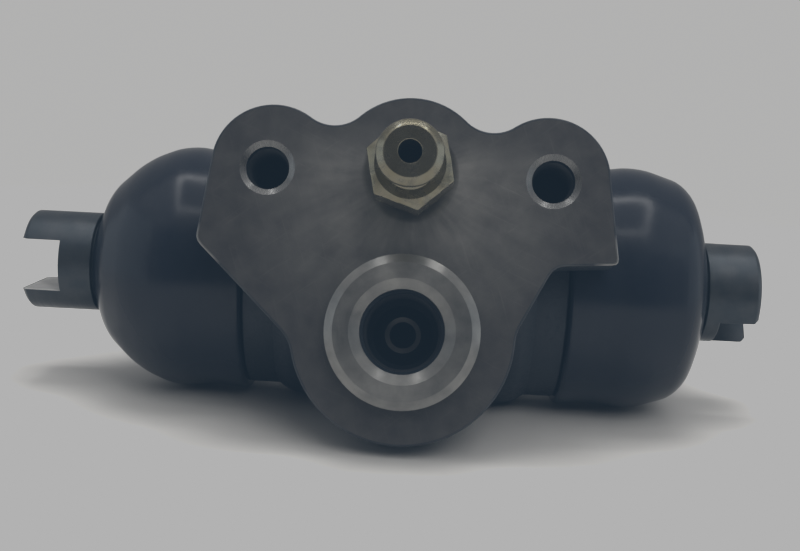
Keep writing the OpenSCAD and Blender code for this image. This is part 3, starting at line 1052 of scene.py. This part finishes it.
@dataclass
class Casting:
    """The iron casting with its flange, barrel, inlet boss and tapped holes."""

    node: str = "cylinder_body"
    body: str = "cylinder"
    slot: str = "cast_body"
    edge_soft: float = 0.28
    boss_soft: float = 0.6
    boss_steps: int = 4
    bolt_spacing: float = 33.0
    bolt_mouth_r: float = 3.2
    bolt_depth: float = 12.0
    bolt_minor_r: float = 2.5
    bolt_thread: Range = (1.1, 7.5)
    bleed_mouth_r: float = 5.4
    mouth_depth: float = 1.5
    port_drop: float = 18.2
    port_boss_r: float = 8.8
    port_boss_h: float = 3.0
    port_mouth_r: float = 6.0
    port_mouth_h: float = 0.69
    port_minor_r: float = 4.5
    port_thread: Range = (0.1, 7.0)
    port_seat_r: float = 2.25
    face_play: float = 0.03
    face_front: float = 0.99
    seat_front: float = 0.9
    cone_front: float = 0.3
    bore: Bore = BORE
    skin: CastSkin = CastSkin()
    face: MachinedFace = MachinedFace()
    edge: WornEdgeAndPaintedGlints = WornEdgeAndPaintedGlints()

    def boss_steel(self) -> TurnedSteel:
        """Describes the bare turned metal of the inlet boss, grooved round the inlet.

        Returns:
            The finish.
        """
        return TurnedSteel(
            name="turned_inlet_boss",
            colour=(0.34, 0.335, 0.32),
            stain=(0.2, 0.2, 0.195),
            centre=(0.0, 0.0, -self.port_drop),
            axis=Lathe.FLANGE,
            roughness=0.38,
            groove=0.88,
        )

    def mouth_steel(self) -> TurnedSteel:
        """Describes the duller metal of the bolt holes' countersinks.

        Returns:
            The finish.
        """
        return TurnedSteel(
            name="countersunk_holes",
            colour=(0.2, 0.198, 0.193),
            stain=(0.13, 0.13, 0.13),
            centre=ORIGIN,
            axis=Lathe.FLANGE,
            roughness=0.25,
        )

    def threads(self) -> list[Thread]:
        """Lists the threads of the inlet and of both bolt holes.

        Returns:
            The threads, the inlet's first.
        """
        start, length = self.port_thread
        inlet = Thread("inlet_thread", (0.0, -self.port_drop), self.port_minor_r, start, length)
        start, length = self.bolt_thread
        bolts = [
            Thread(
                f"{side.word}_bolt_thread",
                (side.value * self.bolt_spacing / 2, 0.0),
                self.bolt_minor_r,
                start,
                length,
            )
            for side in Side
        ]
        return [inlet, *bolts]

    def from_port(self, place: Vector) -> float:
        """Measures how far a place is from the inlet's axis, in millimetres."""
        return math.hypot(place.x, place.z + self.port_drop)

    def from_bolt(self, place: Vector) -> float:
        """Measures how far a place is from the nearer bolt's axis, in millimetres."""
        return math.hypot(abs(place.x) - self.bolt_spacing / 2, place.z)

    @staticmethod
    def from_bleed(place: Vector) -> float:
        """Measures how far a place is from the bleed screw's axis, in millimetres."""
        return math.hypot(place.x, place.z)

    @staticmethod
    def middle_of(edge: bmesh.types.BMEdge) -> Vector:
        """Gives the middle of an edge in millimetres."""
        return (edge.verts[0].co + edge.verts[1].co) / 2 / MM

    def slot_of(self, face: bmesh.types.BMFace) -> CastingSlot:
        """Picks the finish of one face by its place.

        Args:
            face: A face of the casting.

        Returns:
            Its material slot.
        """
        middle = face.calc_center_median() / MM
        from_port = self.from_port(middle)
        mouth_end = self.port_mouth_h - self.port_boss_h - self.face_play
        on_boss = from_port < self.port_boss_r + self.face_play and middle.y < -self.face_play
        if on_boss and (middle.y < mouth_end or from_port > self.port_mouth_r):
            return CastingSlot.BOSS
        on_seat = all(self.from_port(v.co / MM) < self.port_seat_r for v in face.verts)
        if on_seat and face.normal.y < -self.seat_front and middle.y > 0.0:
            return CastingSlot.BOSS
        in_bleed = self.from_bleed(middle) < self.bleed_mouth_r
        in_mouth = in_bleed or self.from_bolt(middle) < self.bolt_mouth_r
        on_cone = abs(face.normal.y) > self.cone_front and 0.0 < middle.y < self.mouth_depth
        if in_mouth and on_cone:
            return CastingSlot.FACE if in_bleed else CastingSlot.BOLT_MOUTH
        if abs(middle.y) < self.face_play and face.normal.y < -self.face_front:
            return CastingSlot.FACE
        return CastingSlot.SKIN

    def in_hole(self, edge: bmesh.types.BMEdge) -> bool:
        """Says whether an edge belongs to a tapped hole or to a passage behind it.

        Args:
            edge: An edge of the casting.

        Returns:
            True if it does.
        """
        middle = self.middle_of(edge)
        play = self.edge_soft / 2
        in_bolt = self.from_bolt(middle) < self.bolt_mouth_r + play and middle.y < self.bolt_depth
        in_port = self.from_port(middle) < self.port_mouth_r + play and middle.y < self.bore.back
        in_bleed = self.from_bleed(middle) < self.bleed_mouth_r
        return in_bolt or in_port or (in_bleed and self.mouth_depth < middle.y < self.bore.back)

    def on_boss_rim(self, edge: bmesh.types.BMEdge) -> bool:
        """Says whether an edge belongs to the bevelled rim of the inlet boss.

        Args:
            edge: An edge of the casting.

        Returns:
            True if it does.
        """
        middle = self.middle_of(edge)
        in_reach = self.from_port(middle) < self.port_boss_r + self.face_play
        return in_reach and middle.y < -self.port_boss_h / 2

    def dress(self, bm: bmesh.types.BMesh) -> None:
        """Gives each face its finish and rounds the edges.

        Args:
            bm: The casting's skin.
        """
        for face in bm.faces:
            face.material_index = self.slot_of(face)
        rounded = Workshop.soften(
            bm, self.edge_soft, lambda edge: not self.in_hole(edge) and not self.on_boss_rim(edge)
        )
        for face in rounded:
            middle = face.calc_center_median() / MM
            if 0.0 < middle.y < self.edge_soft:
                in_bleed = self.from_bleed(middle) < self.bleed_mouth_r + self.edge_soft
                face.material_index = CastingSlot.FACE if in_bleed else CastingSlot.EDGE
        Workshop.soften(
            bm,
            self.boss_soft,
            lambda edge: self.on_boss_rim(edge) and not self.in_hole(edge),
            steps=self.boss_steps,
        )

    def build(self, node: bpy.types.Object) -> bpy.types.Object:
        """Makes the casting's skin from the CAD node, with soft edges.

        Args:
            node: The CAD casting.

        Returns:
            The dressed casting.
        """
        bm = Workshop.merged(node)
        self.dress(bm)
        finishes = {
            CastingSlot.SKIN: self.skin,
            CastingSlot.FACE: self.face,
            CastingSlot.BOSS: self.boss_steel(),
            CastingSlot.BOLT_MOUTH: self.mouth_steel(),
            CastingSlot.EDGE: self.edge,
        }
        casting = Workshop.piece("casting", bm, *(finishes[slot].make() for slot in CastingSlot))
        Workshop.even(casting)
        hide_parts(self.node)
        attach(casting, self.body)
        return casting


@dataclass
class DustBoot:
    """One moulded rubber boot from its bead on the casting to its lip on the stem."""

    side: Side
    shoulder: float
    crown: float
    mouth: float
    bore: Bore = BORE
    seat: float = 19.9
    rim_r: float = 15.8
    waist_r: float = 15.35
    bulge: float = 29.2
    bulge_r: float = 16.1
    shoulder_r: float = 14.0
    crown_r: float = 10.2
    wall: float = 1.9
    lean_share: float = 0.6
    seat_r: float = 13.1
    casting_end: float = 27.6
    lip_r: float = 5.8
    stem_r: float = 6.6
    steps: int = 144

    def corners(self) -> list[Corner]:
        """Lists the section's corners from the seat round the outside and back inside.

        Returns:
            The corners in order.
        """
        waist = (self.seat + self.bulge) / 2
        lean = self.lean_share * self.wall
        return [
            Corner(self.seat_r, self.seat, soft=0.15),
            Corner(self.rim_r, self.seat, soft=0.7),
            Corner(self.waist_r, waist, soft=2.0),
            Corner(self.bulge_r, self.bulge, soft=2.2),
            Corner(self.shoulder_r, self.shoulder, soft=2.0),
            Corner(self.crown_r, self.crown, soft=1.2),
            Corner(self.lip_r, self.mouth, soft=0.25),
            Corner(self.lip_r, self.mouth - self.wall, soft=0.15),
            Corner(self.stem_r, self.mouth - self.wall),
            Corner(self.crown_r - lean, self.crown - self.wall, soft=0.6),
            Corner(self.shoulder_r - self.wall, self.shoulder - lean, soft=0.8),
            Corner(self.bulge_r - self.wall, self.bulge, soft=0.8),
            Corner(self.seat_r, self.casting_end),
        ]

    def build(self, finish: bpy.types.Material) -> bpy.types.Object:
        """Turns the boot.

        Args:
            finish: The boots' rubber.

        Returns:
            The boot.
        """
        bm = bmesh.new()
        Workshop.turned(bm, self.bore, self.corners(), self.side, self.steps)
        boot = Workshop.piece(f"{self.side.word}_dust_boot", bm, finish)
        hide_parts(f"{self.side.word}_boot")
        start = self.bore.at(self.side.value * self.casting_end)
        end = self.bore.at(self.side.value * (self.mouth - self.wall))
        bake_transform(boot)
        return boot


@dataclass
class Piston:
    """One turned piston with its slotted stem."""

    side: Side
    edge_soft: float = 0.16
    slot_start: float = 38.0
    slot_reach: float = 4.5
    wall_up: float = 0.5
    bore: Bore = BORE

    def is_sheen_wall(self, face: bmesh.types.BMFace) -> bool:
        """Says whether a face is an upward wall of the slot, which takes a painted sheen.

        Args:
            face: A face of the piston.

        Returns:
            True if it is.
        """
        middle = face.calc_center_median() / MM
        reach = math.hypot(middle.y - self.bore.back, middle.z + self.bore.drop)
        in_stem = abs(middle.x) > self.slot_start and reach < self.slot_reach
        return in_stem and face.normal.z > self.wall_up

    def build(
        self, node: bpy.types.Object, finish: bpy.types.Material, bare_and_sheen: bpy.types.Material
    ) -> bpy.types.Object:
        """Makes the piston's skin from the CAD node, with soft edges.

        Args:
            node: The CAD piston.
            finish: The pistons' steel.
            bare_and_sheen: The bright finish painted on the slot's upward walls as painted sheen.

        Returns:
            The dressed piston.
        """
        bm = Workshop.merged(node)
        for face in bm.faces:
            # Upward slot walls get the bright finish as a painted sheen.
            face.material_index = int(self.is_sheen_wall(face))
        Workshop.soften(bm, self.edge_soft)
        piston = Workshop.piece(f"{self.side.word}_slotted_piston", bm, finish, bare_and_sheen)
        Workshop.even(piston)
        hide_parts(f"{self.side.word}_piston")
        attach(piston, f"{self.side.word}_piston")
        return piston


@dataclass
class ReturnSpring:
    """The coil spring between the pistons, in two halves that each reach from its middle to one
    piston.
    """

    node: str = "return_spring"
    first: float = -11.6
    last: float = 7.3
    turns: float = 5.5
    coil_r: float = 5.2
    wire_r: float = 0.6
    wire_sides: int = 10
    bore: Bore = BORE

    def half(self, side: Side, finish: bpy.types.Material) -> bpy.types.Object:
        """Winds the half from the spring's middle to one piston.

        Args:
            side: The end that the half reaches to.
            finish: The spring's wire.

        Returns:
            The half.
        """
        middle = (self.first + self.last) / 2
        pitch = (self.last - self.first) / self.turns
        wire = self.bore.at(middle) - Vector((0.0, 0.0, self.coil_r)) * MM
        bm = bmesh.new()
        ring = bmesh.ops.create_circle(bm, segments=self.wire_sides, radius=self.wire_r * MM)
        across = Matrix.Rotation(math.pi / 2, 4, "Y") @ Matrix.Rotation(math.pi / 2, 4, "X")
        bmesh.ops.transform(bm, verts=ring["verts"], matrix=Matrix.Translation(wire) @ across)
        axis = Vector((side.value, 0.0, 0.0))
        Workshop.wind(bm, self.bore.at(middle), axis, self.turns / 2, pitch)
        spring = Workshop.piece(f"{side.word}_spring_half", bm, finish)
        end = self.last if side is Side.RIGHT else self.first
        self.bore.at(middle)
        self.bore.at(end)
        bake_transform(spring)
        return spring

    def build(self, finish: bpy.types.Material) -> list[bpy.types.Object]:
        """Winds both halves, which stand for the CAD spring together.

        Args:
            finish: The spring's wire.

        Returns:
            The two halves.
        """
        halves = [self.half(side, finish) for side in Side]
        for half in halves:
            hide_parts(self.node)
        return halves


@dataclass
class BleedScrew:
    """The plated screw with its hexagon and hose nipple."""

    node: str = "bleed_screw"
    edge_soft: float = 0.14
    shown_depth: float = 9.0
    plate: ZincPlate = ZincPlate()

    def build(self, node: bpy.types.Object) -> bpy.types.Object:
        """Makes the screw's skin from the CAD node, with soft edges where it shows.

        Args:
            node: The CAD screw.

        Returns:
            The dressed screw.
        """
        bm = Workshop.merged(node)
        deepest = self.shown_depth * MM
        Workshop.soften(bm, self.edge_soft, lambda edge: edge.verts[0].co.y < deepest)
        screw = Workshop.piece("plated_bleed_screw", bm, self.plate.make())
        Workshop.even(screw)
        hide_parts(self.node)
        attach(screw, self.node)
        return screw


@dataclass(frozen=True)
class PhotoCamera:
    """The camera, placed and turned as it stood for the photograph."""

    place: Point = (1.376, -131.793, -23.151)
    pitch: float = 4.961
    yaw: float = -0.854
    roll: float = 2.982
    focal_px: float = 1160.0
    frame_px: float = 800.0
    sensor: float = 36.0
    nearest: float = 5.0

    def build(self) -> bpy.types.Object:
        """Makes the camera and gives it to the scene.

        Returns:
            The camera.
        """
        data = bpy.data.cameras.new("photo_camera")
        data.sensor_width = self.sensor
        data.lens = self.sensor * self.focal_px / self.frame_px
        data.clip_start = self.nearest * MM
        camera = bpy.data.objects.new("photo_camera", data)
        turn = (
            Matrix.Rotation(-math.radians(self.yaw), 4, "Z")
            @ Matrix.Rotation(math.radians(90.0 + self.pitch), 4, "X")
            @ Matrix.Rotation(math.radians(self.roll), 4, "Z")
        )
        camera.matrix_world = Matrix.Translation(Vector(self.place) * MM) @ turn
        bpy.context.scene.collection.objects.link(camera)
        bpy.context.scene.camera = camera
        return camera


@dataclass(frozen=True)
class Lamp:
    """One soft rectangular lamp that faces straight down or towards a point."""

    name: str
    place: Point
    size: tuple[float, float]
    glow: float
    colour: Colour = (1.0, 1.0, 1.0)
    target: Point | None = None
    mirrored: bool = True

    def build(self) -> bpy.types.Object:
        """Makes the lamp, which the camera doesn't see and gloss shows only if it is mirrored.

        Returns:
            The lamp.
        """
        data = bpy.data.lights.new(self.name, "AREA")
        data.shape = "RECTANGLE"
        data.size, data.size_y = (s * MM for s in self.size)
        data.energy = self.glow * math.pi * data.size * data.size_y
        data.color = self.colour
        lamp = bpy.data.objects.new(self.name, data)
        down = Vector((0.0, 0.0, -1.0))
        way = Vector(self.target) - Vector(self.place) if self.target else down
        turn = way.to_track_quat("-Z", "Y").to_matrix().to_4x4()
        lamp.matrix_world = Matrix.Translation(Vector(self.place) * MM) @ turn
        lamp.visible_camera = False
        lamp.visible_glossy = self.mirrored
        bpy.context.scene.collection.objects.link(lamp)
        return lamp


@dataclass
class Studio:
    """Floor, lamps, surroundings and the picture's tones."""

    floor_reach: float = 3000.0
    flange_t: float = 6.0
    ring_half: tuple[float, float] = (92.0, 86.0)
    ring_middle: Point = (6.0, -88.0, 200.0)
    ring_width: float = 14.0
    ring_glow: float = 6.2
    ring_side_glow: float = 4.6
    aim: Point = (0.0, 10.0, -10.0)
    plain: tuple[Lamp, ...] = (
        Lamp("soft_ceiling", (60.0, -320.0, 420.0), (1300.0, 680.0), glow=0.32),
        Lamp("back_ceiling", (60.0, 260.0, 420.0), (1300.0, 480.0), glow=0.4, mirrored=False),
        Lamp("front_key", (120.0, -330.0, 170.0), (260.0, 200.0), 2.8, target=aim, mirrored=False),
        Lamp("rear_key", (-60.0, 380.0, 150.0), (420.0, 260.0), 1.6, target=aim, mirrored=False),
        Lamp("overhead_key", (0.0, -60.0, 330.0), (180.0, 140.0), glow=6.0, mirrored=False),
    )
    fill_size: tuple[float, float] = (320.0, 320.0)
    fill_place: Point = (330.0, -30.0, 20.0)
    fill_glow: float = 0.45
    fill_colour: Colour = (0.82, 0.92, 1.0)
    room_tone: Colour = (0.438, 0.433, 0.426)
    room_light: Colour = (0.235, 0.23, 0.225)
    front_range: Range = (-0.98, -0.5)
    front_light: Range = (0.2, 1.0)
    veil: Colour = (0.0092, 0.0165, 0.0255)
    white: float = 0.445
    joint_curve: int = 3

    def floor(self, casting: str, boot: str) -> bpy.types.Object:
        """Lays the floor under the flange's lower edge and the boots.

        Args:
            casting: Node whose flange rests on the floor.
            boot: Node of a boot that rests on it.

        Returns:
            The floor.
        """
        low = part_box(casting)[0]
        first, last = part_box(boot)
        edge = Vector((self.flange_t * MM, low.z))
        middle = Vector(((first.y + last.y) / 2, (first.z + last.z) / 2))
        reach = middle - edge
        tilt = math.atan2(reach.y, reach.x) - math.asin((last.z - first.z) / 2 / reach.length)
        place = Matrix.Translation((0.0, edge.x, edge.y)) @ Matrix.Rotation(tilt, 4, "X")
        bm = bmesh.new()
        bmesh.ops.create_grid(bm, x_segments=1, y_segments=1, size=self.floor_reach * MM)
        bmesh.ops.transform(bm, verts=bm.verts, matrix=place)
        floor = Workshop.piece("floor", bm, PaleFloor().make())
        return floor

    def ring(self) -> list[Lamp]:
        """Lists four long lamps that form a frame over the front of the part.

        Returns:
            The lamps.
        """
        wide, deep = self.ring_half
        x, y, z = self.ring_middle
        long_bar = (2 * wide + self.ring_width, self.ring_width)
        short_bar = (self.ring_width, 2 * deep)
        return [
            Lamp("frame_back", (x, y + deep, z), long_bar, self.ring_glow),
            Lamp("frame_front", (x, y - deep, z), long_bar, self.ring_glow),
            Lamp("frame_left", (x - wide, y, z), short_bar, self.ring_side_glow),
            Lamp("frame_right", (x + wide, y, z), short_bar, self.ring_side_glow),
        ]

    def fills(self) -> list[Lamp]:
        """Lists the cool lamp at each end of the part.

        Returns:
            The lamps.
        """
        across, back, up = self.fill_place
        return [
            Lamp(
                f"{side.word}_fill",
                (side.value * across, back, up),
                self.fill_size,
                self.fill_glow,
                self.fill_colour,
                self.aim,
            )
            for side in Side
        ]

    def lamps(self) -> list[bpy.types.Object]:
        """Hangs the frame of lamps, the plain ones and the fills."""
        return [lamp.build() for lamp in (*self.ring(), *self.plain, *self.fills())]

    def surroundings(self) -> None:
        """Gives the room one pale tone behind the part and a dimmer light on it."""
        world = bpy.data.worlds.new("pale_room")
        world.use_nodes = True
        tree = world.node_tree
        seen = tree.nodes["Background"]
        lit = tree.nodes.new("ShaderNodeBackground")
        for node, tone in ((seen, self.room_tone), (lit, self.room_light)):
            node.inputs["Color"].default_value = (*tone, 1.0)
        way = tree.nodes.new("ShaderNodeSeparateXYZ")
        dim = tree.nodes.new("ShaderNodeMapRange")
        tree.links.new(tree.nodes.new("ShaderNodeTexCoord").outputs["Generated"], way.inputs[0])
        tree.links.new(way.outputs["Y"], dim.inputs["Value"])
        limits = (*self.front_range, *self.front_light)
        for name, number in zip(("From Min", "From Max", "To Min", "To Max"), limits):
            dim.inputs[name].default_value = number
        tree.links.new(dim.outputs[0], lit.inputs["Strength"])
        path = tree.nodes.new("ShaderNodeLightPath")
        choice = tree.nodes.new("ShaderNodeMixShader")
        tree.links.new(path.outputs["Is Camera Ray"], choice.inputs[0])
        tree.links.new(lit.outputs[0], choice.inputs[1])
        tree.links.new(seen.outputs[0], choice.inputs[2])
        tree.links.new(choice.outputs[0], tree.nodes["World Output"].inputs["Surface"])
        bpy.context.scene.world = world

    def tones(self) -> None:
        """Lifts the picture's blacks by a cool veil and ends its whites at a pale grey."""
        view = bpy.context.scene.view_settings
        view.view_transform = "Standard"
        view.use_curve_mapping = True
        mapping = view.curve_mapping
        mapping.black_level = tuple(-v for v in self.veil)
        mapping.extend = "HORIZONTAL"
        points = mapping.curves[self.joint_curve].points
        points.new(self.white, self.white)
        points[-1].location = (1.0, self.white)
        for point in points:
            point.handle_type = "VECTOR"
        mapping.update()


def dress_seals(nodes: dict[str, bpy.types.Object]) -> None:
    """Gives the CAD seals, which stay as they are, their rubber.

    Args:
        nodes: The CAD objects by name.
    """
    rubber = SEAL_RUBBER.make()
    for side in Side:
        name = f"{side.word}_seal"
        nodes[name].data.materials.clear()
        nodes[name].data.materials.append(rubber)
        LOG.info("dressed %s", name)


def main() -> None:
    """Builds every piece round the frame and sets the scene."""
    logging.basicConfig(level=logging.INFO, format="%(message)s")
    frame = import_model()
    nodes = frame["nodes"]
    casting = Casting()
    made = [casting.build(nodes[casting.node])]
    cut = CUT_THREAD.make()
    made += [thread.build(cut) for thread in casting.threads()]
    rubber = BOOT_RUBBER.make()
    boots = [
        DustBoot(Side.LEFT, shoulder=34.4, crown=38.6, mouth=40.6),
        DustBoot(Side.RIGHT, shoulder=35.9, crown=37.4, mouth=38.6),
    ]
    made += [boot.build(rubber) for boot in boots]
    steel = PISTON_STEEL.make()
    # The slot walls' bright finish is a painted sheen.
    bare_and_sheen = SLOT_WALL_SHEEN.make()
    made += [Piston(side).build(nodes[f"{side.word}_piston"], steel, bare_and_sheen) for side in Side]
    screw = BleedScrew()
    made.append(screw.build(nodes[screw.node]))
    made += ReturnSpring().build(DrawnWire().make())
    for piece in made:
        LOG.info("built %s with %d faces", piece.name, len(piece.data.polygons))
    dress_seals(nodes)
    studio = Studio()
    studio.floor(casting.node, "left_boot")
    studio.lamps()
    studio.surroundings()
    studio.tones()
    PhotoCamera().build()


if __name__ == "__main__":
    main()
